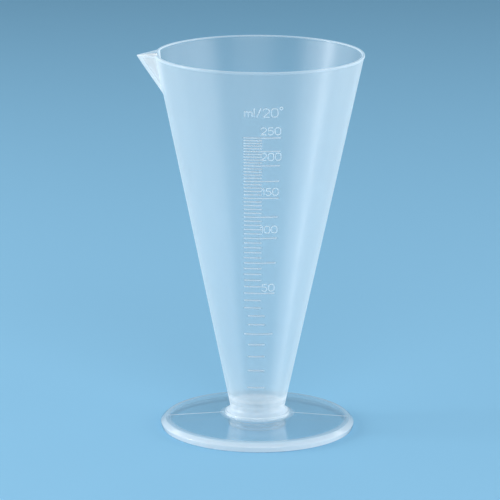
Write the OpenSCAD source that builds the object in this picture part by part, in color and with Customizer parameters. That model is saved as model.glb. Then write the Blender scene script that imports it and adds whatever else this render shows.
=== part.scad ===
// Conical graduate: a 250 ml measuring cone with a pouring spout, seated in a round foot.
// Sizes in mm, +Z up. The origin is on the cone's axis, on the surface that the foot stands on.
// The spout points to -X and the graduation faces -Y.

/* [Cone] */
// Height of the rim above the table
rim_z = 163.2; // [160:0.1:170]
// Outer radius of the cone just under the rim bead
rim_r = 44.3; // [43:0.1:46]
// Outer radius of the neck, where the cone ends
neck_r = 11.75; // [11.5:0.05:12.5]
// Height at which the neck radius is measured
neck_z = 9; // [8.8:0.1:9.5]
// Wall thickness, measured level
wall = 1; // [0.8:0.05:1.3]
// How far the rim bead stands out of the cone
bead = 0.1; // [0.05:0.05:0.6]
// Height of the inner floor at its edge
floor_z = 10.2; // [10:0.1:11]
// Depth of the dished floor at its centre
dish = 1.2; // [0.8:0.1:1.6]

/* [Spout] */
// Distance of the spout's tip from the axis
spout_reach = 52.8; // [50:0.1:54]
// How far below the rim the spout's keel leaves the cone
keel_drop = 18.2; // [16:0.1:20]
// Droop of the tip below the rim
tip_droop = 1.2; // [0.6:0.1:1.8]
// Half of the angle between the spout's two sides
spout_half_angle = 45; // [42:1:48]
// Radius of the hollow blend between a side and the cone
blend_r = 15; // [12:0.5:16]
// Level distance between the outer and the inner keel
keel_wall = 1.6; // [1.4:0.1:1.8]

/* [Graduation] */
// Largest volume on the scale in ml
full_ml = 250; // [200:25:250]
// Volume between two lines in ml
step_ml = 5; // [5, 25]
// Volume between two long lines in ml
long_ml = 25; // [25, 50]
// Height of a raised line
line_h = 0.45; // [0.3:0.05:0.5]
// How far a line stands out of the cone
line_proud = 0.25; // [0.15:0.05:0.3]

/* [Seat between cone and foot] */
// Radius of the shoulder under the neck
shoulder_r = 13.2; // [13:0.05:13.5]
// Height of the shoulder's edge, where the seam shows
seam_z = 6.9; // [6.8:0.05:7.1]
// Height of the ledge that the shoulder rests on
ledge_z = 5.6; // [5.4:0.05:5.7]
// Radius of the spigot that is pressed into the foot
spigot_r = 10.4; // [10:0.1:10.8]
// Wall of the hollow spigot
spigot_wall = 1.8; // [1.5:0.1:2]
// Clearance all round the spigot and the shoulder
seat_gap = 0.05; // [0.03:0.01:0.08]

/* [Foot] */
// Largest radius of the foot
foot_r = 41.8; // [40:0.1:44]
// Height of the disc's top just inside its rounded edge
edge_z = 3.95; // [3.8:0.05:4.2]
// Height of the disc's top where it meets the collar
hub_z = 5.75; // [5.6:0.05:5.9]
// Outer radius of the raised collar
collar_r = 14.1; // [13.9:0.05:14.4]
// Thickness of the clear web of the disc
web = 1.5; // [1.3:0.1:1.8]
// Width of the solid ring round the edge
ring_w = 3.8; // [3.4:0.1:4.4]
// Gap left under the hub when the foot stands on its ring
hub_lift = 0.8; // [0.6:0.1:1.2]

/* [Hidden] */
clear_plastic = [0.86, 0.93, 0.97, 0.6];
$fn = 120;

// Outer radius of the cone at a height
taper = (rim_r - neck_r) / (rim_z - neck_z);
function cone_r(z) = neck_r + taper * (z - neck_z);

// Height of the liquid for a volume: the dish fills first, then the cone above its edge
floor_r = cone_r(floor_z) - wall;
dish_ml = PI * dish * (3 * floor_r ^ 2 + dish ^ 2) / 6 / 1000;
function level_r(ml) = (floor_r ^ 3 + 3000 * taper * (ml - dish_ml) / PI) ^ (1 / 3);
function level_z(ml) = floor_z + (level_r(ml) - floor_r) / taper;

// A profile is a list of [radius, height, corner radius]; corners become short arcs
function unit(v) = v / norm(v);
function flat2(p) = [p[0], p[1]];
function corner(a, b, c, r, steps) =
    let (u = unit(a - b), v = unit(c - b))
    let (half = acos(u * v) / 2, centre = b + unit(u + v) * r / sin(half))
    let (from = b + u * r / tan(half) - centre)
    let (turn = sign(u[0] * v[1] - u[1] * v[0]) * (half * 2 - 180))
    [for (i = [0 : steps])
        let (w = turn * i / steps)
        centre + [from[0] * cos(w) - from[1] * sin(w), from[0] * sin(w) + from[1] * cos(w)]];
function profile(p, steps = 4) = [
    for (i = [0 : len(p) - 1])
        let (a = p[(i + len(p) - 1) % len(p)], b = p[i], c = p[(i + 1) % len(p)])
        each b[2] == 0 ? [flat2(b)] : corner(flat2(a), flat2(b), flat2(c), b[2], steps)];

// The dished floor, from its edge to the axis, as part of a sphere
dish_r = (floor_r ^ 2 + dish ^ 2) / (2 * dish);
function dish_z(r) = floor_z - dish + dish_r - sqrt(dish_r ^ 2 - r ^ 2);

// Outside of the cone with its rim bead, shoulder and hollow spigot, filled to the axis
spigot_z = 1.2;
roof_z = floor_z - dish - 1.7;
neck_foot_z = seam_z + (shoulder_r - seat_gap - cone_r(seam_z)) / (1 + taper);
outside = profile([
    [0, roof_z, 0],
    [spigot_r - spigot_wall - 0.3, roof_z, 0.8],
    [spigot_r - spigot_wall, spigot_z, 0],
    [spigot_r - 0.4, spigot_z, 0],
    [spigot_r, spigot_z + 0.6, 0],
    [spigot_r, ledge_z, 0],
    [shoulder_r - seat_gap, ledge_z, 0],
    [shoulder_r - seat_gap, seam_z, 0.3],
    [cone_r(neck_foot_z), neck_foot_z, 1.4],
    [cone_r(rim_z - 1.3), rim_z - 1.3, 0.6],
    [rim_r + bead, rim_z - 0.9, 0.2],
    [rim_r + bead, rim_z, 0.5],
    [0, rim_z, 0]
]);

// Inside of the cone: the straight wall, the dished floor and its small flat centre
inside = concat(
    [[0, rim_z + 2], [cone_r(rim_z + 2) - wall, rim_z + 2]],
    [for (i = [8 : -1 : 1]) [floor_r * i / 8, dish_z(floor_r * i / 8)]],
    [[0, dish_z(floor_r / 8)]]
);

// Bevel of the rim's inner edge
rim_bevel = 0.35;
module rim_cut() {
    r = rim_r - wall + rim_bevel;
    translate([0, 0, rim_z - 1])
        cylinder(h = 2, r1 = r - 1, r2 = r + 1);
}

// Plan of the spout at the rim: a tip arc, a straight side and a hollow blend into the cone,
// mirrored about the keel. The blend ends a little inside the cone, so that it cuts it cleanly.
function arc(c, r, from, to, steps) =
    [for (i = [0 : steps]) let (w = from + (to - from) * i / steps) c + r * [cos(w), sin(w)]];
function blend_centre(tip_x, r) =
    let (d = -sin(spout_half_angle) * tip_x + r, h = [cos(spout_half_angle), sin(spout_half_angle)])
    let (along = sqrt((rim_r - 0.4 + blend_r) ^ 2 - d ^ 2))
    [-h[1] * d - h[0] * along, h[0] * d - h[1] * along];
function spout_side(tip_x, tip_r, r) =
    let (c = blend_centre(tip_x, r), inward = atan2(-c[1], -c[0]))
    let (tip = [tip_x + tip_r / sin(spout_half_angle), 0])
    concat(
        tip_r == 0 ? [[tip_x, 0]] : arc(tip, tip_r, 180, 90 + spout_half_angle, 3),
        arc(c, r, spout_half_angle - 90, inward + 4, 10)
    );
function mirrored(side) =
    concat(side, [for (i = [len(side) - 1 : -1 : 0]) [side[i][0], -side[i][1]]]);

// A plan drawn at the rim that narrows towards a point on the keel, from a little above the rim
module keeled(plan, keel_x, drop, above) {
    grow = 1 + above / drop;
    translate([keel_x, 0, rim_z + above])
        mirror([0, 0, 1])
            linear_extrude(height = drop + above, scale = 0)
                polygon([for (p = plan) grow * [p[0] - keel_x, p[1]]]);
}

// Both keels run on past the wall, so that their points fall inside the cone
tip_r = 0.8;
tip_x = -spout_reach - tip_r * (1 / sin(spout_half_angle) - 1);
keel_slope = (-tip_x - cone_r(rim_z - keel_drop)) / keel_drop;
run_on = 4;

module spout_outside() {
    drop = keel_drop + run_on;
    keeled(mirrored(spout_side(tip_x, tip_r, blend_r)), tip_x + keel_slope * drop, drop, 0);
}

module spout_channel() {
    vertex = tip_x + keel_wall;
    drop = (-vertex - rim_r + wall) / (keel_slope - taper) + run_on;
    side = spout_side(vertex, 0, blend_r + keel_wall * sin(spout_half_angle));
    plan = mirrored(concat(side, [[-30, side[len(side) - 1][1]]]));
    keeled(plan, vertex + keel_slope * drop, drop, 1);
}

// The cutting plane starts where the spout leaves the rim and falls to the tip
module lip_cut() {
    start = 42;
    translate([-start, 0, rim_z])
        rotate([0, -atan(tip_droop / (spout_reach - start)), 0])
            translate([-20, -30, 0])
                cube([20, 60, 10]);
}

// One raised line at a volume: long every long_ml, short between, shorter at the narrow end
module scale_line(ml) {
    z = level_z(ml);
    long = ml % long_ml == 0;
    low = ml < 40 && !long;
    left = low ? -4 : -5.2 - 0.008 * z;
    right = long ? 4.6 + 0.032 * z : low ? 2.7 : 1.1;
    translate([left, -cone_r(z) - 1, z - line_h / 2])
        cube([right - left, cone_r(z) / 2, line_h]);
}

module graduation() {
    intersection() {
        translate([0, 0, neck_z])
            cylinder(h = rim_z - 2 - neck_z, r1 = neck_r + line_proud, r2 = cone_r(rim_z - 2) + line_proud);
        for (ml = [step_ml : step_ml : full_ml])
            scale_line(ml);
    }
}

module measuring_cup() {
    color(clear_plastic)
        difference() {
            union() {
                rotate_extrude() polygon(outside);
                spout_outside();
                graduation();
            }
            rotate_extrude() polygon(inside);
            spout_channel();
            rim_cut();
            lip_cut();
        }
}

// Disc with a clear web, a solid ring round the edge, and a hub bored for the spigot
function disc_z(r) = edge_z + (hub_z - edge_z) * (foot_r - 1.9 - r) / (foot_r - 1.9 - collar_r);
ring_in = foot_r - ring_w;
hub_wall = 2;
foot_section = profile([
    [ring_in + 0.2, 0, 0.3],
    [foot_r - 0.5, 0, 0.5],
    [foot_r, 2.2, 0.6],
    [foot_r - 1.9, edge_z, 1.5],
    [collar_r, hub_z, 0.25],
    [collar_r, seam_z, 0.5],
    [shoulder_r, seam_z, 0.1],
    [shoulder_r, ledge_z, 0],
    [spigot_r + seat_gap, ledge_z, 0],
    [spigot_r + seat_gap, hub_lift, 0.3],
    [spigot_r + hub_wall, hub_lift, 0.4],
    [spigot_r + hub_wall, disc_z(spigot_r + hub_wall) - web, 0.8],
    [ring_in, disc_z(ring_in) - web, 0.6]
]);

module foot() {
    color(clear_plastic)
        rotate_extrude() polygon(foot_section);
}

measuring_cup();
foot();
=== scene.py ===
"""Conical graduate: the visible pieces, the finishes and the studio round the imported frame.

Laid out as an add-on and run as a script. Sizes in the panel are metres; the code that shapes
the pieces works in millimetres, in the frame's own axes: +Z up, the spout at -X, the scale at -Y.
"""
import math

import bpy
from mathutils import Matrix, Vector


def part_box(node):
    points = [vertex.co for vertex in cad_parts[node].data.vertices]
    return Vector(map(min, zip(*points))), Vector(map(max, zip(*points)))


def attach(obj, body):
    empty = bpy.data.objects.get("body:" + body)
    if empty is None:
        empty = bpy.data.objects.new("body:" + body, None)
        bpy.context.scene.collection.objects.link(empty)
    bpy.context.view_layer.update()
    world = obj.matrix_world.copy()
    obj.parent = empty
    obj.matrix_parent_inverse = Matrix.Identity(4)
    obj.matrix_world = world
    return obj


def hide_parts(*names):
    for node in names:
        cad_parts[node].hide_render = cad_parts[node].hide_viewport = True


bl_info = {
    "name": "Conical graduate",
    "version": (1, 0, 0),
    "blender": (4, 5, 0),
    "location": "3D View > Sidebar > Graduate",
    "description": "Builds a 250 ml conical graduate of translucent plastic on a pale studio floor",
    "category": "Add Mesh",
}

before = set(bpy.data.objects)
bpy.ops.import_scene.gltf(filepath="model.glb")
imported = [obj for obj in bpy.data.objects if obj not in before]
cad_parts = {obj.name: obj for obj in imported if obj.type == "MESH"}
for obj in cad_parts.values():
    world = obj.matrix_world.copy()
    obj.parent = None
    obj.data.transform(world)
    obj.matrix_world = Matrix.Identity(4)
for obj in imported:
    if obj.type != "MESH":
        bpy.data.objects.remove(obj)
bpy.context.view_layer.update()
CUP_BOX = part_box("measuring_cup")
FOOT_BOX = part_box("foot")
MM = 0.001


# Settings


class CupSettings(bpy.types.PropertyGroup):
    rim_height: bpy.props.FloatProperty(
        name="Rim height", description="Height of the rim above the table",
        default=CUP_BOX[1].z, unit="LENGTH", precision=5)
    rim_radius: bpy.props.FloatProperty(
        name="Rim radius", description="Outer radius of the cone just under the rim bead",
        default=0.0443, unit="LENGTH", precision=5)
    neck_radius: bpy.props.FloatProperty(
        name="Neck radius", description="Outer radius of the cone at the neck height",
        default=0.01175, unit="LENGTH", precision=5)
    neck_height: bpy.props.FloatProperty(
        name="Neck height", description="Height at which the neck radius is measured",
        default=0.009, unit="LENGTH", precision=5)
    wall: bpy.props.FloatProperty(
        name="Wall", description="Wall thickness, measured level",
        default=0.001, unit="LENGTH", precision=5)
    bead: bpy.props.FloatProperty(
        name="Rim bead", description="How far the rim bead stands out of the cone",
        default=0.0001, unit="LENGTH", precision=5)
    floor_height: bpy.props.FloatProperty(
        name="Floor height", description="Height of the inner floor at its edge",
        default=0.0102, unit="LENGTH", precision=5)
    dish: bpy.props.FloatProperty(
        name="Dish", description="Depth of the dished floor at its centre",
        default=0.0012, unit="LENGTH", precision=5)
    spout_reach: bpy.props.FloatProperty(
        name="Spout reach", description="Distance of the spout's tip from the axis at rim height",
        default=0.0528, unit="LENGTH", precision=5)
    keel_drop: bpy.props.FloatProperty(
        name="Keel drop", description="How far below the rim the spout's keel leaves the cone",
        default=0.0182, unit="LENGTH", precision=5)
    tip_droop: bpy.props.FloatProperty(
        name="Tip droop", description="Droop of the spout's tip below the rim",
        default=0.0012, unit="LENGTH", precision=5)
    spout_angle: bpy.props.FloatProperty(
        name="Spout angle", description="Half of the angle between the spout's two sides",
        default=math.radians(39), subtype="ANGLE")
    blend_radius: bpy.props.FloatProperty(
        name="Blend radius", description="Radius of the hollow blend between spout and cone",
        default=0.002, unit="LENGTH", precision=5)
    keel_wall: bpy.props.FloatProperty(
        name="Keel wall", description="Level distance between the outer and the inner keel",
        default=0.0016, unit="LENGTH", precision=5)


class ScaleSettings(bpy.types.PropertyGroup):
    line_height: bpy.props.FloatProperty(
        name="Line height", description="Height of a raised graduation line",
        default=0.0006, unit="LENGTH", precision=5)
    line_relief: bpy.props.FloatProperty(
        name="Line relief", description="How far a graduation line stands out of the cone",
        default=0.00025, unit="LENGTH", precision=5)
    figure_height: bpy.props.FloatProperty(
        name="Figure height", description="Height of the figures beside the long lines",
        default=0.0031, unit="LENGTH", precision=5)
    figure_stroke: bpy.props.FloatProperty(
        name="Figure stroke", description="Width of the strokes of the figures",
        default=0.0004, unit="LENGTH", precision=5)
    figure_relief: bpy.props.FloatProperty(
        name="Figure relief", description="How far the figures stand out of the cone",
        default=0.0002, unit="LENGTH", precision=5)


class FootSettings(bpy.types.PropertyGroup):
    radius: bpy.props.FloatProperty(
        name="Foot radius", description="Largest radius of the foot",
        default=FOOT_BOX[1].x, unit="LENGTH", precision=5)
    edge_height: bpy.props.FloatProperty(
        name="Edge height", description="Height of the disc's top just inside its rounded edge",
        default=0.00395, unit="LENGTH", precision=5)
    hub_height: bpy.props.FloatProperty(
        name="Hub height", description="Height of the disc's top where it meets the collar",
        default=0.00575, unit="LENGTH", precision=5)
    collar_radius: bpy.props.FloatProperty(
        name="Collar radius", description="Outer radius of the raised collar",
        default=0.0141, unit="LENGTH", precision=5)
    collar_height: bpy.props.FloatProperty(
        name="Collar height", description="Height of the collar's top",
        default=FOOT_BOX[1].z, unit="LENGTH", precision=5)
    web: bpy.props.FloatProperty(
        name="Web", description="Thickness of the clear web of the disc",
        default=0.0015, unit="LENGTH", precision=5)
    ring_width: bpy.props.FloatProperty(
        name="Ring width", description="Width of the solid ring round the edge",
        default=0.0038, unit="LENGTH", precision=5)


class PlasticSettings(bpy.types.PropertyGroup):
    colour: bpy.props.FloatVectorProperty(
        name="Haze colour", description="Colour of the milky haze in the plastic",
        default=(0.84, 0.92, 0.95), subtype="COLOR", min=0.0, max=1.0)
    thin_haze: bpy.props.FloatProperty(
        name="Thin haze", description="Haze of one face of a thin wall, seen square on",
        default=0.03, min=0.0, max=4.0)
    thick_haze: bpy.props.FloatProperty(
        name="Thick haze", description="Haze of a face of the solid rim, keel and neck",
        default=1.1, min=0.0, max=6.0)
    web_haze: bpy.props.FloatProperty(
        name="Web haze", description="Haze of one face of the foot's clear web",
        default=0.02, min=0.0, max=4.0)
    gloss: bpy.props.FloatProperty(
        name="Surface roughness", description="Roughness of the moulded surface",
        default=0.28, min=0.0, max=1.0, subtype="FACTOR")


class StudioSettings(bpy.types.PropertyGroup):
    floor_colour: bpy.props.FloatVectorProperty(
        name="Floor colour", description="Colour of the plain pale floor",
        default=(0.25, 0.50, 0.70), subtype="COLOR", min=0.0, max=1.0)
    light: bpy.props.FloatProperty(
        name="Light", description="Strength of the soft lamps round the object",
        default=1.0, min=0.0, max=5.0)
    fill: bpy.props.FloatProperty(
        name="Fill", description="Strength of the even light from all round",
        default=0.3, min=0.0, max=5.0)
    surround: bpy.props.FloatProperty(
        name="Surround", description="Brightness of the studio's walls where the plastic mirrors them",
        default=0.9, min=0.0, max=1.0)


SETTINGS = {
    "graduate_cup": CupSettings,
    "graduate_scale": ScaleSettings,
    "graduate_foot": FootSettings,
    "graduate_plastic": PlasticSettings,
    "graduate_studio": StudioSettings,
}


# Shapes, in millimetres

# The spout bulges the cone this many degrees each side of -X, and this far down from the rim
SPOUT_HALF = 26
SPOUT_DEPTH = 28
# Distance from the axis at which the spout's lip starts to droop
LIP_START = 42
# Wall of the collar beside the seat, the clearance in the seat, and the height of its ledge
COLLAR_WALL = 0.9
SEAT_GAP = 0.05
LEDGE_Z = 5.6
# Plastic between the dish and the hollow of the spigot
DISH_FLOOR = 1.7
# Width of the slope that rounds the foot's edge
EDGE_SLOPE = 1.9


def smoothstep(low, high, value):
    """0 below low, 1 above high, and a smooth rise between them."""
    t = min(max((value - low) / (high - low), 0.0), 1.0)
    return t * t * (3 - 2 * t)


def soft_max(a, b, width):
    """The larger of two lengths, with a small fillet where they are alike."""
    gap = max(width - abs(a - b), 0.0) / width
    return max(a, b) + gap * gap * width / 4


def arc(cx, cy, rx, ry, start, end, steps):
    """Points on an ellipse's arc, between two angles in degrees."""
    turns = [math.radians(start + (end - start) * i / steps) for i in range(steps + 1)]
    return [(cx + rx * math.cos(w), cy + ry * math.sin(w)) for w in turns]


def rounded(corners, steps=6):
    """A line through (radius, height, corner radius) points, with its corners turned into arcs."""
    line = []
    for i, (x, y, r) in enumerate(corners):
        if r == 0 or i in (0, len(corners) - 1):
            line.append((x, y))
            continue
        here = Vector((x, y))
        u = (Vector(corners[i - 1][:2]) - here).normalized()
        v = (Vector(corners[i + 1][:2]) - here).normalized()
        half = math.acos(max(-1.0, min(1.0, u.dot(v)))) / 2
        centre = here + (u + v).normalized() * (r / math.sin(half))
        first = here + u * (r / math.tan(half)) - centre
        turn = math.copysign(math.pi - 2 * half, u.y * v.x - u.x * v.y)
        for k in range(steps + 1):
            c, s = math.cos(turn * k / steps), math.sin(turn * k / steps)
            line.append((centre.x + first.x * c - first.y * s, centre.y + first.x * s + first.y * c))
    return line


def filled(line, longest):
    """The same line with points added, so that no step of it is longer than that."""
    full = [line[0]]
    for a, b in zip(line, line[1:]):
        steps = max(1, math.ceil(math.dist(a, b) / longest))
        full += [tuple(a[k] + (b[k] - a[k]) * i / steps for k in (0, 1)) for i in range(1, steps + 1)]
    return full


class Cone:
    """The straight cone, its scale of volumes and its spout, from the cup's settings."""

    tip_round = 0.8
    run_on = 4.0

    def __init__(self, cup):
        self.rim_z, self.rim_r = cup.rim_height / MM, cup.rim_radius / MM
        self.neck_z, self.neck_r = cup.neck_height / MM, cup.neck_radius / MM
        self.wall, self.bead = cup.wall / MM, cup.bead / MM
        self.floor_z, self.dish = cup.floor_height / MM, cup.dish / MM
        self.reach, self.droop = cup.spout_reach / MM, cup.tip_droop / MM
        self.taper = (self.rim_r - self.neck_r) / (self.rim_z - self.neck_z)
        self.floor_r = self.radius(self.floor_z) - self.wall
        drop, blend, keel_wall = cup.keel_drop / MM, cup.blend_radius / MM, cup.keel_wall / MM
        self.spout_angle = cup.spout_angle
        hub = self.rim_r - 0.4 + blend
        tip = -self.reach - self.tip_round * (1 / math.sin(self.spout_angle) - 1)
        slope = (-tip - self.radius(self.rim_z - drop)) / drop
        self.outer_keel = self.keel(tip, self.tip_round, blend, hub, slope, drop + self.run_on)
        tip += keel_wall
        blend += keel_wall * math.sin(self.spout_angle)
        drop = (-tip - self.rim_r + self.wall) / (slope - self.taper)
        self.inner_keel = self.keel(tip, 0.2, blend, hub, slope, drop + self.run_on)

    def radius(self, z):
        """Outer radius of the straight cone at a height."""
        return self.neck_r + self.taper * (z - self.neck_z)

    def level(self, ml):
        """Height of the liquid for a volume: the dish fills first, then the cone above it."""
        dish_ml = math.pi * self.dish * (3 * self.floor_r**2 + self.dish**2) / 6000
        cube = self.floor_r**3 + 3000 * self.taper * (ml - dish_ml) / math.pi
        return self.floor_z + (cube ** (1 / 3) - self.floor_r) / self.taper

    def dish_z(self, r):
        """Height of the dished floor at a radius."""
        sphere = (self.floor_r**2 + self.dish**2) / (2 * self.dish)
        return self.floor_z - self.dish + sphere - math.sqrt(sphere**2 - r**2)

    def keel(self, tip, tip_round, blend, hub, slope, drop):
        """Half of the spout's plan at the rim, and where and how far below it narrows to a point."""
        c, s = math.cos(self.spout_angle), math.sin(self.spout_angle)
        turn = math.degrees(self.spout_angle)
        d = blend - s * tip
        along = math.sqrt(hub**2 - d**2)
        centre = (-s * d - c * along, c * d - s * along)
        inward = math.degrees(math.atan2(-centre[1], -centre[0]))
        plan = arc(tip + tip_round / s, 0, tip_round, tip_round, 180, 90 + turn, 6)
        plan += arc(centre[0], centre[1], blend, blend, turn - 90, inward + 4, 24)
        return plan, tip + slope * drop, drop

    def spout(self, keel, angle, z):
        """Distance of the spout's wall from the axis, at an angle in degrees from -X, or 0."""
        plan, keel_x, drop = keel
        scale = (drop - (self.rim_z - z)) / drop
        if scale <= 0.02:
            return 0.0
        way = (-math.cos(math.radians(angle)), math.sin(math.radians(abs(angle))))
        last = None
        for x, y in plan:
            point = (keel_x + (x - keel_x) * scale, y * scale)
            side = way[0] * point[1] - way[1] * point[0]
            if last is not None and last[1] >= 0 > side:
                t = last[1] / (last[1] - side)
                hit = [last[0][k] + (point[k] - last[0][k]) * t for k in (0, 1)]
                return hit[0] * way[0] + hit[1] * way[1]
            last = (point, side)
        return 0.0

    def front(self, x, z):
        """A point of the cone's outer face in front, and the way it faces."""
        r = self.radius(z)
        y = -math.sqrt(r * r - x * x)
        return Vector((x, y, z)), Vector((x, y, -self.taper * r)).normalized()


def disc_z(foot, r):
    """Height of the disc's top at a radius."""
    edge_r = foot.radius / MM - EDGE_SLOPE
    share = (edge_r - r) / (edge_r - foot.collar_radius / MM)
    return (foot.edge_height + (foot.hub_height - foot.edge_height) * share) / MM


class Shell:
    """Points, faces and a thickness for each point, gathered into one mesh."""

    def __init__(self):
        self.points, self.faces, self.thickness = [], [], []

    def add(self, points, thickness):
        """Keeps a row of points, with one thickness or one for each, and returns their numbers."""
        start = len(self.points)
        self.points += [tuple(c * MM for c in p) for p in points]
        self.thickness += thickness if isinstance(thickness, list) else [thickness] * len(points)
        return list(range(start, start + len(points)))

    def bridge(self, a, b):
        """Faces between two closed rows."""
        for i in range(len(a)):
            k = (i + 1) % len(a)
            self.faces.append((a[i], a[k], b[k], b[i]))

    def fan(self, ring, centre, flip=False):
        """Faces from a closed row to one point."""
        for i in range(len(ring)):
            pair = (ring[i], ring[(i + 1) % len(ring)])
            self.faces.append((*(reversed(pair) if flip else pair), centre))

    def piece(self, name, material, slot):
        """The visible piece made of what was gathered, riding on the one body."""
        mesh = bpy.data.meshes.new(name)
        mesh.from_pydata(self.points, [], self.faces)
        mesh.attributes.new("thickness", "FLOAT", "POINT").data.foreach_set("value", self.thickness)
        mesh.materials.append(material)
        mesh.shade_smooth()
        mesh.validate()
        piece = bpy.data.objects.new(name, mesh)
        bpy.context.scene.collection.objects.link(piece)
        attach(piece, "root")
        return piece


# How far the root of a raised line is sunk into the wall that carries it
ROOT_DEPTH = 0.08


def ridge(shell, path, faces_out, width, relief, closed=False, thickness=0.9):
    """A raised line with a rounded back along a path of points, each with the way it faces."""
    rings, count = [], len(path)
    for i, (point, out) in enumerate(zip(path, faces_out)):
        before = path[i - 1] if closed or i else path[i]
        after = path[(i + 1) % count] if closed or i < count - 1 else path[i]
        side = out.cross(after - before).normalized() * (width / 2)
        section = [
            point + side * math.cos(w) + out * (relief * math.sin(w))
            for w in [math.pi * k / 6 for k in range(7)]
        ]
        section += [point + side * k - out * ROOT_DEPTH for k in (-0.7, 0.7)]
        rings.append(shell.add(section, thickness))
    for a, b in zip(rings, rings[1:]):
        shell.bridge(a, b)
    if closed:
        shell.bridge(rings[-1], rings[0])
        return
    for ring, flip, k in ((rings[0], True, 0), (rings[-1], False, -1)):
        end = path[k] + (path[k] - path[1 if k == 0 else -2]).normalized() * (width / 2)
        centre = shell.add([end], thickness)[0]
        shell.fan(ring, centre, flip)


# The figures are strokes in a box one unit high: 0 at the foot of the figure, 1 at its head

FIGURES = {
    "0": (0.76, [("loop", [(0.38 + 0.38 * math.copysign(abs(math.cos(w)) ** 0.7, math.cos(w)),
                            0.5 + 0.5 * math.copysign(abs(math.sin(w)) ** 0.7, math.sin(w)))
                           for w in [2 * math.pi * i / 32 for i in range(32)]])]),
    "1": (0.34, [("line", [(0.0, 0.76), (0.16, 0.86), (0.3, 1.0), (0.3, 0.0)])]),
    "2": (0.74, [("line", arc(0.36, 0.70, 0.36, 0.30, 170, -30, 12)
                  + [(0.34, 0.28), (0.02, 0.0), (0.72, 0.0)])]),
    "5": (0.74, [("line", [(0.68, 1.0), (0.12, 1.0), (0.06, 0.56)]
                  + arc(0.36, 0.32, 0.36, 0.32, 125, -150, 16))]),
    "m": (0.86, [("line", [(0.0, 0.62), (0.0, 0.0)]),
                 ("line", arc(0.21, 0.42, 0.21, 0.20, 180, 0, 8) + [(0.42, 0.0)]),
                 ("line", arc(0.63, 0.42, 0.21, 0.20, 180, 0, 8) + [(0.84, 0.0)])]),
    "l": (0.08, [("line", [(0.02, 1.0), (0.02, 0.0)])]),
    "/": (0.52, [("line", [(0.0, -0.06), (0.5, 1.04)])]),
    "o": (0.34, [("loop", arc(0.17, 1.0, 0.16, 0.16, 0, 330, 11))]),
}


FIGURE_GAP = 0.2

# Each figure's volume, how far its foot is above the line, and where it ends right of the middle

FIGURE_PLACES = [(50, 1.0, 6.7), (100, 2.4, 7.7), (150, 1.3, 8.1), (200, 2.4, 9.1), (250, 1.4, 8.9)]


def write(shell, cone, words, right, foot_z, height, stroke, relief):
    """Raised figures on the cone's front, ending at a level distance right of its middle."""
    wide = sum(FIGURES[c][0] for c in words) + FIGURE_GAP * (len(words) - 1)
    x = right - wide * height
    for c in words:
        for kind, line in FIGURES[c][1]:
            flat = [(x + u * height, foot_z + v * height) for u, v in line]
            if kind == "line":
                flat = filled(flat, 0.5)
            path, out = zip(*[cone.front(u, v) for u, v in flat])
            ridge(shell, path, out, stroke, relief, kind == "loop")
        x += (FIGURES[c][0] + FIGURE_GAP) * height


# Finishes


def node_group(name, inputs, outputs):
    """An empty shader node group with named sockets, each a float or a colour."""
    kinds = {"f": "NodeSocketFloat", "c": "NodeSocketColor"}
    tree = bpy.data.node_groups.new(name, "ShaderNodeTree")
    for label, kind in inputs:
        tree.interface.new_socket(label, in_out="INPUT", socket_type=kinds[kind])
    for label, kind in outputs:
        tree.interface.new_socket(label, in_out="OUTPUT", socket_type=kinds[kind])
    return tree, tree.nodes.new("NodeGroupInput"), tree.nodes.new("NodeGroupOutput")


def made(tree, kind, settings=None, **inputs):
    """A node with its settings, and its inputs linked or set by name, or by place as i0, i1."""
    node = tree.nodes.new(kind)
    for key, value in (settings or {}).items():
        setattr(node, key, value)
    for key, value in inputs.items():
        by_place = key[0] == "i" and key[1:].isdigit()
        socket = node.inputs[int(key[1:]) if by_place else key.replace("_", " ")]
        if isinstance(value, bpy.types.NodeSocket):
            tree.links.new(value, socket)
        else:
            socket.default_value = value
    return node


def maths(tree, operation, *values):
    """The result of a Math node on links or numbers."""
    inputs = {f"i{k}": value for k, value in enumerate(values)}
    return made(tree, "ShaderNodeMath", {"operation": operation}, **inputs).outputs[0]


def moulded_surface_group():
    """Ripple, grain and rubbing of a moulded face: its height and its roughness."""
    tree, given, out = node_group(
        "moulded_surface",
        [("Roughness", "f"), ("Rubbing", "f")],
        [("Roughness", "f"), ("Height", "f")])
    place = made(tree, "ShaderNodeTexCoord").outputs["Object"]
    ripple = made(tree, "ShaderNodeTexNoise", Vector=place, Scale=70.0, Detail=2.0)
    grain = made(tree, "ShaderNodeTexNoise", Vector=place, Scale=1400.0, Detail=3.0)
    rubbed = made(tree, "ShaderNodeTexNoise", Vector=place, Scale=260.0, Detail=6.0, Roughness=0.7)
    spots = made(tree, "ShaderNodeMapRange", Value=rubbed.outputs["Fac"], From_Min=0.5, From_Max=0.72)
    rough = maths(tree, "MULTIPLY_ADD", spots.outputs[0], given.outputs["Rubbing"],
                  given.outputs["Roughness"])
    wave = maths(tree, "MULTIPLY", ripple.outputs["Fac"], 0.8)
    tree.links.new(maths(tree, "MULTIPLY_ADD", grain.outputs["Fac"], 0.2, wave), out.inputs["Height"])
    rough = maths(tree, "MULTIPLY_ADD", ripple.outputs["Fac"], 0.06, rough)
    tree.links.new(rough, out.inputs["Roughness"])


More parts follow.
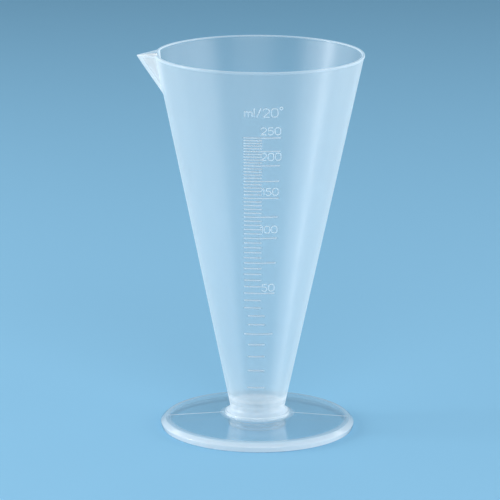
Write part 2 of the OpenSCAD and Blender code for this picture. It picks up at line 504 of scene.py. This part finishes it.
def milky_haze_group():
    """How milky the plastic is at each place, from its thickness and its flow into the mould."""
    tree, given, out = node_group(
        "milky_haze",
        [("Colour", "c"), ("Thin haze", "f"), ("Thick haze", "f"), ("Streaks", "f")],
        [("Colour", "c"), ("Haze", "f")])
    thick = made(tree, "ShaderNodeAttribute", {"attribute_name": "thickness"}).outputs["Fac"]
    place = made(tree, "ShaderNodeTexCoord").outputs["Object"]
    along = made(tree, "ShaderNodeMapping", Vector=place, Scale=(1.0, 1.0, 0.12)).outputs[0]
    flow = made(tree, "ShaderNodeTexNoise", Vector=along, Scale=85.0, Detail=3.0, Distortion=0.4)
    cloud = made(tree, "ShaderNodeTexNoise", Vector=place, Scale=38.0, Detail=4.0)
    both = maths(tree, "ADD", flow.outputs["Fac"], cloud.outputs["Fac"])
    uneven = maths(tree, "MULTIPLY_ADD", maths(tree, "SUBTRACT", both, 1.0),
                   given.outputs["Streaks"], 1.0)
    haze = made(tree, "ShaderNodeMapRange", Value=thick, i3=given.outputs["Thin haze"],
                i4=given.outputs["Thick haze"]).outputs[0]
    tree.links.new(maths(tree, "MULTIPLY", haze, uneven), out.inputs["Haze"])
    deep = made(tree, "ShaderNodeMix", {"data_type": "RGBA"}, Factor=thick,
                i6=given.outputs["Colour"], i7=(0.93, 0.965, 0.985, 1.0)).outputs[2]
    tree.links.new(deep, out.inputs["Colour"])


# Painted shade: the dark tint that the upward-facing slopes of a raised line let through, standing in
# for the light its upper edge bends away
PAINTED_EDGE_SHADE = (0.08, 0.18, 0.28, 1.0)


def milky_plastic(name, thin_haze, thick_haze, roughness, streaks, glare, far_side, edge=0.0):
    """Translucent polymer: see-through where it is thin and square on, milky where it is thick.

    Glare is how much it mirrors at a glancing view. The far side is the share of the haze that
    shows on faces seen from within the plastic, and the edge is the strength of a painted shade
    on slopes that face up, where the haze thins and what shows through is tinted dark.
    """
    colour = (*bpy.context.scene.graduate_plastic.colour, 1.0)
    material = bpy.data.materials.new(name)
    material.use_nodes = True
    tree = material.node_tree
    tree.nodes.clear()
    haze = made(tree, "ShaderNodeGroup", {"node_tree": bpy.data.node_groups["milky_haze"]},
                Colour=colour, Thin_haze=thin_haze, Thick_haze=thick_haze, Streaks=streaks)
    face = made(tree, "ShaderNodeGroup", {"node_tree": bpy.data.node_groups["moulded_surface"]},
                Roughness=roughness, Rubbing=0.05)
    normal = made(tree, "ShaderNodeBump", Height=face.outputs["Height"], Strength=0.01,
                  Distance=0.0004).outputs[0]
    square = made(tree, "ShaderNodeLayerWeight", Blend=0.5).outputs["Facing"]
    slant = maths(tree, "SUBTRACT", 1.04, square)
    depth = maths(tree, "DIVIDE", haze.outputs["Haze"], slant)
    behind = made(tree, "ShaderNodeNewGeometry").outputs["Backfacing"]
    depth = maths(tree, "MULTIPLY", depth, maths(tree, "MULTIPLY_ADD", behind, far_side - 1, 1.0))
    clear = made(tree, "ShaderNodeBsdfTransparent")
    # Painted shade on raised lines: where the normal points up, less haze and a dark tint in what
    # shows through
    if edge:
        facing_up = made(tree, "ShaderNodeSeparateXYZ",
                         Vector=made(tree, "ShaderNodeTexCoord").outputs["Normal"]).outputs["Z"]
        shade = made(tree, "ShaderNodeMapRange", Value=facing_up, From_Min=0.45, From_Max=0.75,
                     To_Max=edge).outputs[0]
        depth = maths(tree, "MULTIPLY", depth, maths(tree, "SUBTRACT", 1.0, shade))
        dark = made(tree, "ShaderNodeMix", {"data_type": "RGBA"}, Factor=shade,
                    i6=(1.0, 1.0, 1.0, 1.0), i7=PAINTED_EDGE_SHADE).outputs[2]
        tree.links.new(dark, clear.inputs["Color"])
    passed = maths(tree, "POWER", math.e, maths(tree, "MULTIPLY", depth, -1.0))
    solid = made(tree, "ShaderNodeBsdfPrincipled", Base_Color=haze.outputs["Colour"],
                 Roughness=face.outputs["Roughness"], Normal=normal, IOR=1.49)
    solid.inputs["Specular IOR Level"].default_value = 0.2
    glow = made(tree, "ShaderNodeBsdfTranslucent", Color=haze.outputs["Colour"], Normal=normal)
    milk = made(tree, "ShaderNodeMixShader", i0=0.5, i1=solid.outputs[0], i2=glow.outputs[0])
    body = made(tree, "ShaderNodeMixShader", i0=passed, i1=milk.outputs[0], i2=clear.outputs[0])
    gloss = made(tree, "ShaderNodeBsdfGlossy", Roughness=face.outputs["Roughness"], Normal=normal)
    mirror = maths(tree, "MULTIPLY_ADD", maths(tree, "POWER", square, 5.0), glare, 0.04)
    skin = made(tree, "ShaderNodeMixShader", i0=mirror, i1=body.outputs[0], i2=gloss.outputs[0])
    made(tree, "ShaderNodeOutputMaterial", Surface=skin.outputs[0])
    return material


def plastic_for(name):
    """A finish by name, made once from the plastic's settings."""
    if name in bpy.data.materials:
        return bpy.data.materials[name]
    if "milky_haze" not in bpy.data.node_groups:
        milky_haze_group()
        moulded_surface_group()
    plastic = bpy.context.scene.graduate_plastic
    if name == "satin_cone":
        return milky_plastic(name, plastic.thin_haze, plastic.thick_haze, plastic.gloss,
                             streaks=0.16, glare=0.3, far_side=0.06)
    if name == "bright_foot":
        return milky_plastic(name, plastic.web_haze, 2.8 * plastic.thick_haze, 0.08,
                             streaks=0.2, glare=1.4, far_side=0.04)
    # The raised lines carry a painted shade on their upward-facing slopes
    return milky_plastic(name, plastic.thin_haze, 4 * plastic.thick_haze, 0.25, streaks=0.1,
                         glare=0.3, far_side=0.3, edge=0.95 if name == "raised_lines" else 0.0)


# Pieces


def cup_columns():
    """Angles from -X in degrees, close together at the spout."""
    near = [0.2, 0.4, 0.62, 0.9, 1.3, 1.7, 2.1, 2.5, 3.0, 3.5] + [4 + i / 2 for i in range(45)]
    half = near + [SPOUT_HALF + (180 - SPOUT_HALF) * i / 62 for i in range(1, 63)]
    return [-a for a in reversed(half[:-1])] + [0.0] + half


def cup_thickness(cone, angle, r, z, inner):
    """How much plastic lies behind a point of the cup's skin, from 0 to 1."""
    above, below = z - cone.floor_z, cone.rim_z - z
    if inner:
        solid_end = smoothstep(4.0, 8.5, r) * (1 - smoothstep(0.0, 0.8, above))
        rim, skin = 0.5 * (1 - smoothstep(0.2, 0.8, below)), 0.0
    else:
        window = smoothstep(0.0, 0.9, above) * (1 - smoothstep(2.0, 3.4, above))
        solid_end = 0.85 * (1 - smoothstep(3.0, 5.5, above)) * (1 - 0.6 * window)
        rim, skin = 0.5 * (1 - smoothstep(0.9, 1.4, below)), 0.22
    glow = 0.10 * (1 - smoothstep(0.0, 24.0, above))
    keel = 0.95 * (1 - smoothstep(2.0, 2.7, abs(angle))) * (1 - smoothstep(16.0, 19.0, below))
    if abs(angle) < SPOUT_HALF and below < 18:
        crease = abs(cone.spout(cone.inner_keel if inner else cone.outer_keel, angle, z) - r)
        keel = max(keel, 0.45 * (1 - smoothstep(0.3, 1.4, crease)))
    seated = smoothstep(6.0, 6.8, z)
    return max(solid_end, glow, rim, keel, skin) * (0.08 + 0.92 * seated)


class GRADUATE_OT_cup(bpy.types.Operator):
    """Make the measuring cup: cone, rim, spout, dished floor, shoulder and spigot"""

    bl_idname = "graduate.make_cup"
    bl_label = "Measuring cup"

    def execute(self, context):
        cone = Cone(context.scene.graduate_cup)
        rim_z, rim_r, wall = cone.rim_z, cone.rim_r, cone.wall
        middle_z, roof_z = cone.floor_z - cone.dish, cone.floor_z - cone.dish - DISH_FLOOR
        close = rim_z - 30
        inside = [(cone.floor_r * i / 8, cone.dish_z(cone.floor_r * i / 8)) for i in range(1, 8)]
        heights = [cone.floor_z + h for h in (0, 0.6, 1.5, 3, 5)]
        heights += [heights[-1] + (close - heights[-1]) * i / 24 for i in range(1, 25)]
        heights += [close + 29.2 * i / 38 for i in range(1, 39)]
        inside += [(cone.radius(h) - wall, h) for h in heights]
        lip = arc(rim_r - wall + 0.35, rim_z - 0.4, 0.42, 0.4, 180, 90, 5)
        edge = rim_r + cone.bead
        lip_out = arc(edge - 0.45, rim_z - 0.45, 0.45, 0.45, 90, 0, 6)
        bead = rounded([
            (edge, rim_z - 0.45, 0), (edge, rim_z - 0.9, 0.3),
            (cone.radius(rim_z - 1.3), rim_z - 1.3, 0.6), (cone.radius(rim_z - 4), rim_z - 4, 0)])[1:]
        shoulder = FOOT_BOX[1].z / MM
        seat_r = context.scene.graduate_foot.collar_radius / MM - COLLAR_WALL - SEAT_GAP
        foot_of_neck = shoulder + (seat_r - cone.radius(shoulder)) / (1 + cone.taper)
        neck = [foot_of_neck + h for h in (7.2, 6.0, 5.2, 4.6, 4.0, 3.4, 2.6, 2.0, 1.3, 0.8)]
        tail = rounded([(cone.radius(h), h, 0) for h in neck] + [
            (cone.radius(foot_of_neck), foot_of_neck, 1.4), (seat_r, shoulder, 0.3),
            (seat_r, LEDGE_Z, 0)])
        spigot = rounded([
            (10.4, 1.8, 0), (10.0, 1.2, 0.1), (8.6, 1.2, 0.1),
            (8.3, roof_z, 0.8), (0.6, roof_z, 0)])
        heights = [rim_z - 4 - 26 * i / 34 for i in range(1, 35)]
        heights += [close - (close - neck[0]) * i / 30 for i in range(1, 30)]
        outside = [(cone.radius(h), h) for h in heights]

        shell = Shell()
        columns = cup_columns()
        rows = [(p, True, False) for p in inside] + [(p, True, True) for p in lip]
        rows += [(p, False, True) for p in lip_out]
        rows += [(p, False, False) for p in bead + outside + tail + spigot]
        rings = []
        for (r, z), inner, on_lip in rows:
            ring, thick = [], []
            for angle in columns:
                wide, high = self.at(cone, angle, r, z, inner, on_lip)
                turn = math.radians(angle)
                ring.append((-wide * math.cos(turn), wide * math.sin(turn), high))
                thick.append(cup_thickness(cone, angle, r, z, inner))
            rings.append(shell.add(ring, thick))
        # The shoulder's underside and the spigot's outside lie against the foot and are not made
        seat_row = len(rows) - len(spigot)
        for skin in (rings[:seat_row], rings[seat_row:]):
            for a, b in zip(skin, skin[1:]):
                shell.bridge(a, b)
        shell.fan(rings[0], shell.add([(0, 0, middle_z)], 1.0)[0])
        shell.fan(rings[-1], shell.add([(0, 0, roof_z)], 1.0)[0], flip=True)
        cup = shell.piece("cup_body", plastic_for("satin_cone"), "cup_plastic")
        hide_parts("measuring_cup")
        return {"FINISHED"}

    @staticmethod
    def at(cone, angle, r, z, inner, on_lip):
        """Radius and height of a skin point once the spout has bulged it out and drooped it."""
        if abs(angle) > SPOUT_HALF or z < cone.rim_z - SPOUT_DEPTH:
            return r, z
        keel = cone.inner_keel if inner else cone.outer_keel
        edge = cone.rim_r - cone.wall if inner else cone.rim_r + cone.bead
        high = z
        for _ in range(2):
            level = min(high, cone.rim_z - 0.4) if on_lip else high
            base = edge if on_lip else r
            wide = soft_max(base, cone.spout(keel, angle, level), 0.5) - base + r
            past = max(0.0, wide * math.cos(math.radians(angle)) - LIP_START)
            out = past / (cone.reach - LIP_START)
            high = z - cone.droop * out * smoothstep(cone.rim_z - 14, cone.rim_z, z)
        return wide, high


class GRADUATE_OT_scale(bpy.types.Operator):
    """Make the raised graduation lines, their figures and the heading above them"""

    bl_idname = "graduate.make_scale"
    bl_label = "Scale"

    def execute(self, context):
        cone, scale = Cone(context.scene.graduate_cup), context.scene.graduate_scale
        lines = Shell()
        for ml in range(5, 251, 5):
            z = cone.level(ml)
            long = ml % 25 == 0
            low = ml < 40 and not long
            left = -4 if low else -5.2 - 0.008 * z
            right = 4.6 + 0.032 * z if long else 2.7 if low else 1.1
            steps = max(6, round((right - left) / 0.8))
            across = [left + (right - left) * i / steps for i in range(steps + 1)]
            path, out = zip(*[cone.front(x, z) for x in across])
            ridge(lines, path, out, scale.line_height / MM, scale.line_relief / MM)
        lines.piece("scale_lines", plastic_for("raised_lines"), "cup_plastic")
        figures = Shell()
        height, stroke = scale.figure_height / MM, scale.figure_stroke / MM
        relief = scale.figure_relief / MM
        for ml, lift, right in FIGURE_PLACES:
            write(figures, cone, str(ml), right, cone.level(ml) + lift, height, stroke, relief)
        top = cone.level(250) + 9.2
        write(figures, cone, "ml/20o", 9.7, top, height * 1.18, stroke, relief)
        figures.piece("scale_figures", plastic_for("raised_figures"), "cup_plastic")
        return {"FINISHED"}


def foot_thickness(foot, r, z):
    """How much plastic lies behind a point of the foot's skin, from 0 to 1."""
    ring_in = (foot.radius - foot.ring_width) / MM
    outside = smoothstep(foot.radius / MM - 2.2, foot.radius / MM - 1.0, r)
    ring = 0.12 * smoothstep(ring_in, ring_in + 0.8, r) + 0.88 * outside
    hub = 1 - smoothstep(foot.collar_radius / MM - 0.6, foot.collar_radius / MM + 0.5, r)
    return max(ring, hub * (0.04 + 0.8 * smoothstep(4.6, 5.6, z)))


class GRADUATE_OT_foot(bpy.types.Operator):
    """Make the foot: clear web, solid ring, raised collar and bored hub"""

    bl_idname = "graduate.make_foot"
    bl_label = "Foot"

    def execute(self, context):
        foot = context.scene.graduate_foot
        radius, web = foot.radius / MM, foot.web / MM
        collar_r, collar_z = foot.collar_radius / MM, foot.collar_height / MM
        ring_in = radius - foot.ring_width / MM
        bore, seat = 10.45, collar_r - COLLAR_WALL
        line = rounded([
            (seat, LEDGE_Z, 0), (seat, collar_z, 0.1), (collar_r, collar_z, 0.5),
            (collar_r, foot.hub_height / MM, 0.25),
            (radius - EDGE_SLOPE, foot.edge_height / MM, 1.5),
            (radius, 2.2, 0.6), (radius - 0.5, 0, 0.5), (ring_in + 0.2, 0, 0.3),
            (ring_in, disc_z(foot, ring_in) - web, 0.6),
            (bore + 2, disc_z(foot, bore + 2) - web, 0.8), (bore + 2, 0.8, 0.4),
            (bore, 0.8, 0)])
        line = filled(line, 2.5)
        shell, rings, count = Shell(), [], 192
        turns = [2 * math.pi * i / count for i in range(count)]
        for r, z in line:
            ring = [(r * math.cos(w), r * math.sin(w), z) for w in turns]
            rings.append(shell.add(ring, foot_thickness(foot, r, z)))
        for a, b in zip(rings, rings[1:]):
            shell.bridge(b, a)
        disc = shell.piece("foot_disc", plastic_for("bright_foot"), "foot_plastic")
        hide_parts("foot")
        seam = Shell()
        for side in (-1, 1):
            radii = [collar_r + 0.4 + (radius - 3.2 - collar_r) * i / 24 for i in range(25)]
            path = [Vector((side * r, 0, disc_z(foot, r))) for r in radii]
            ridge(seam, path, [Vector((0, 0, 1))] * len(path), 0.22, 0.09, thickness=0.6)
        seam.piece("mould_line", plastic_for("bright_foot"), "foot_plastic")
        return {"FINISHED"}


def look_from(place, forward, roll):
    """A camera's matrix at a place, looking forward, with its top turned by a roll in radians."""
    right = forward.cross(Vector((0, 0, 1))).normalized()
    up = right.cross(forward)
    turned = right * math.cos(roll) + up * math.sin(roll)
    matrix = Matrix((turned, forward.cross(turned) * -1, -forward)).transposed().to_4x4()
    matrix.translation = place
    return matrix


def soft_lamp(name, place, aim, size, power):
    """A white rectangular lamp facing a point."""
    data = bpy.data.lights.new(name, "AREA")
    data.shape, data.size, data.size_y = "RECTANGLE", size[0], size[1]
    data.energy = power
    lamp = bpy.data.objects.new(name, data)
    lamp.location = place
    lamp.rotation_euler = (Vector(aim) - Vector(place)).to_track_quat("-Z", "Y").to_euler()
    bpy.context.scene.collection.objects.link(lamp)


# The lamps: name, place and size in metres, and power in watts

LAMPS = [
    ("strip_left", (-1.1, -0.03, 0.4), (0.09, 0.8), 4.2),
    ("soft_left", (-1.15, -0.35, 0.42), (0.8, 0.7), 5.0),
    ("soft_right", (1.15, -0.35, 0.42), (0.8, 0.7), 5.0),
    ("soft_back_left", (-1.15, 0.45, 0.42), (0.9, 0.8), 5.0),
    ("soft_back_right", (1.15, 0.45, 0.42), (0.9, 0.8), 4.5),
    ("soft_top_back", (0.0, 0.6, 1.2), (1.2, 0.6), 2.5),
    ("soft_front", (0.2, -1.3, 1.0), (1.2, 0.6), 13.0),
]


class GRADUATE_OT_studio(bpy.types.Operator):
    """Make the studio: pale floor, soft lamps, even fill and the camera"""

    bl_idname = "graduate.make_studio"
    bl_label = "Studio"

    def execute(self, context):
        scene, studio = context.scene, context.scene.graduate_studio
        scene.view_settings.view_transform = "Standard"
        mesh = bpy.data.meshes.new("floor")
        corners = [(6.0 * x, 6.0 * y, 0) for x, y in ((-1, -1), (1, -1), (1, 1), (-1, 1))]
        mesh.from_pydata(corners, [], [(0, 1, 2, 3)])
        paint = bpy.data.materials.new("floor_paint")
        paint.use_nodes = True
        surface = paint.node_tree.nodes["Principled BSDF"]
        surface.inputs["Base Color"].default_value = (*studio.floor_colour, 1.0)
        surface.inputs["Roughness"].default_value = 0.9
        surface.inputs["Specular IOR Level"].default_value = 0.0
        mesh.materials.append(paint)
        floor = bpy.data.objects.new("floor", mesh)
        scene.collection.objects.link(floor)

        for name, place, size, power in LAMPS:
            soft_lamp(name, place, (0, 0, 0.08), size, power * studio.light)
        world = bpy.data.worlds.new("fill")
        world.use_nodes = True
        tree = world.node_tree
        ray = made(tree, "ShaderNodeLightPath").outputs
        seen = maths(tree, "MAXIMUM", ray["Is Camera Ray"], ray["Is Glossy Ray"])
        strength = maths(tree, "MULTIPLY_ADD", seen, studio.surround - studio.fill, studio.fill)
        air = tree.nodes["Background"]
        shade = made(tree, "ShaderNodeMix", {"data_type": "RGBA"}, Factor=seen,
                     i6=(0.7, 0.88, 1.0, 1.0), i7=(0.25, 0.5, 0.72, 1.0)).outputs[2]
        tree.links.new(shade, air.inputs["Color"])
        tree.links.new(strength, air.inputs["Strength"])
        scene.world = world

        camera = bpy.data.objects.new("camera", bpy.data.cameras.new("camera"))
        camera.data.lens = 243.47
        camera.data.shift_x, camera.data.shift_y = -0.01686, -0.00467
        camera.data.clip_start, camera.data.clip_end = 0.1, 30.0
        tilt = math.radians(13.631)
        forward = Vector((0, math.cos(tilt), -math.sin(tilt)))
        aim = Vector((0, 0, 0.0788))
        camera.matrix_world = look_from(aim - forward * 1.4452, forward, math.radians(0.363))
        scene.collection.objects.link(camera)
        scene.camera = camera
        return {"FINISHED"}


class GRADUATE_PT_panel(bpy.types.Panel):
    """The graduate's settings and the buttons that make its pieces"""

    bl_idname = "GRADUATE_PT_panel"
    bl_label = "Conical graduate"
    bl_space_type = "VIEW_3D"
    bl_region_type = "UI"
    bl_category = "Graduate"

    def draw(self, context):
        for name, kind in SETTINGS.items():
            box = self.layout.box()
            box.label(text=name.split("_")[1].capitalize())
            for key in kind.__annotations__:
                box.prop(getattr(context.scene, name), key)
        for operator in OPERATORS:
            self.layout.operator(operator.bl_idname)


OPERATORS = [GRADUATE_OT_studio, GRADUATE_OT_cup, GRADUATE_OT_scale, GRADUATE_OT_foot]
CLASSES = [*SETTINGS.values(), *OPERATORS, GRADUATE_PT_panel]


def register():
    for cls in CLASSES:
        bpy.utils.register_class(cls)
    for name, kind in SETTINGS.items():
        setattr(bpy.types.Scene, name, bpy.props.PointerProperty(type=kind))


def unregister():
    for name in SETTINGS:
        delattr(bpy.types.Scene, name)
    for cls in reversed(CLASSES):
        bpy.utils.unregister_class(cls)


def main():
    register()
    bpy.ops.graduate.make_studio()
    bpy.ops.graduate.make_cup()
    bpy.ops.graduate.make_scale()
    bpy.ops.graduate.make_foot()


if __name__ == "__main__":
    main()
